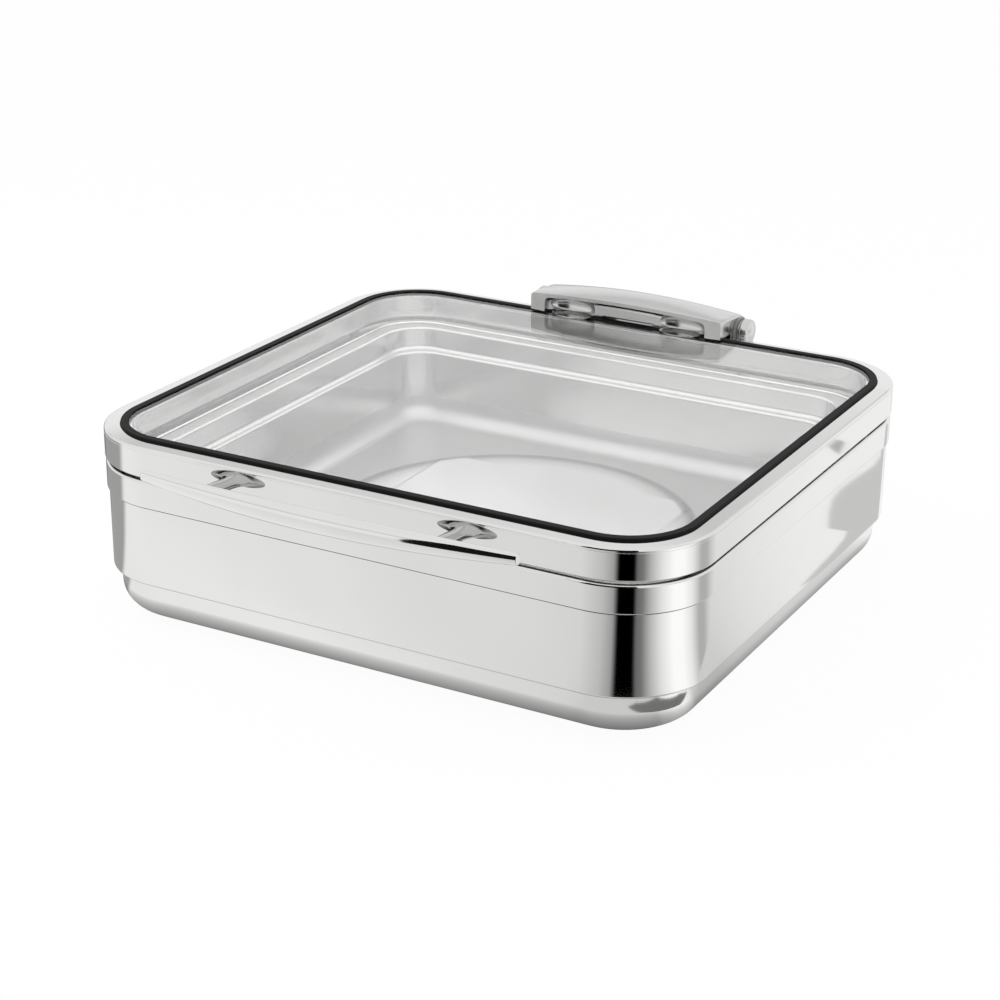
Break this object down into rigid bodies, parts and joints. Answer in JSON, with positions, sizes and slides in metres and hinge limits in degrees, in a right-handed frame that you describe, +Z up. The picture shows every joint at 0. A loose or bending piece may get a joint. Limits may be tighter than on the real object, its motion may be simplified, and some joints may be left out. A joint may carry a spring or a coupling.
{
  "type": "induction chafing dish",
  "caption": "Low rectangular food warmer with rounded corners, a hinged glass lid with a bar handle, a lift-out pan over a water bath and a flat heating base.",
  "frame": {"origin": "centre of the flat bottom face that the dish rests on", "axes": "+Z up, -Y towards the handle at the front, +Y towards the hinge at the back, +X to the right of a person at the handle"},
  "size_m": [0.4012, 0.4442, 0.1399],
  "materials": {
    "outer_steel": "polished stainless steel",
    "rim_steel": "polished stainless steel",
    "core_aluminium": "rolled plate",
    "base_steel": "satin magnetic steel",
    "food_pan_steel": "satin stainless steel",
    "bumper_rubber": "matt",
    "lid_steel": "polished stainless steel",
    "inner_ring_steel": "satin stainless steel",
    "gasket_rubber": "matt black silicone",
    "lid_glass": "clear, smooth",
    "handle_steel": "polished stainless steel",
    "post_steel": "polished stainless steel",
    "fastener_steel": "plain zinc-grey steel",
    "cover_casting": "satin cast stainless steel",
    "bushing_plastic": "natural acetal",
    "damper_steel": "turned steel",
    "damper_plastic": "black",
    "pin_steel": "ground steel",
    "cap_chrome": "polished",
    "bracket_casting": "satin cast stainless steel"
  },
  "bodies": {
    "dish": {"water_pan": "outer_steel", "rim_frame": "rim_steel", "base_core": "core_aluminium", "base_cap": "base_steel", "food_pan": "food_pan_steel", "rim_bumpers": "bumper_rubber", "hinge_bracket": "bracket_casting", "bracket_studs": "fastener_steel", "bracket_washers": "fastener_steel", "bracket_nuts": "fastener_steel", "hinge_pin": "pin_steel", "pivot_caps": "cap_chrome", "damper_rotor": "damper_plastic", "spring_washers": "fastener_steel"},
    "lid": {"lid_frame": "lid_steel", "lid_inner_ring": "inner_ring_steel", "glass_gasket": "gasket_rubber", "glass_pane": "lid_glass", "handle_bar": "handle_steel", "handle_post_left": "post_steel", "handle_post_right": "post_steel", "handle_washers": "fastener_steel", "handle_screws": "fastener_steel", "hinge_cover": "cover_casting", "cover_backing_plate": "fastener_steel", "cover_screws": "fastener_steel", "hinge_bushing_left": "bushing_plastic", "hinge_bushing_right": "bushing_plastic", "damper_sleeve": "damper_steel"}
  },
  "joints": [
    {"name": "lid_hinge", "type": "hinge", "parent": "dish", "child": "lid", "pos_m": [-0.004, 0.2005, 0.1215], "axis": [-1, 0, 0], "range_deg": [0, 90]}
  ]
}
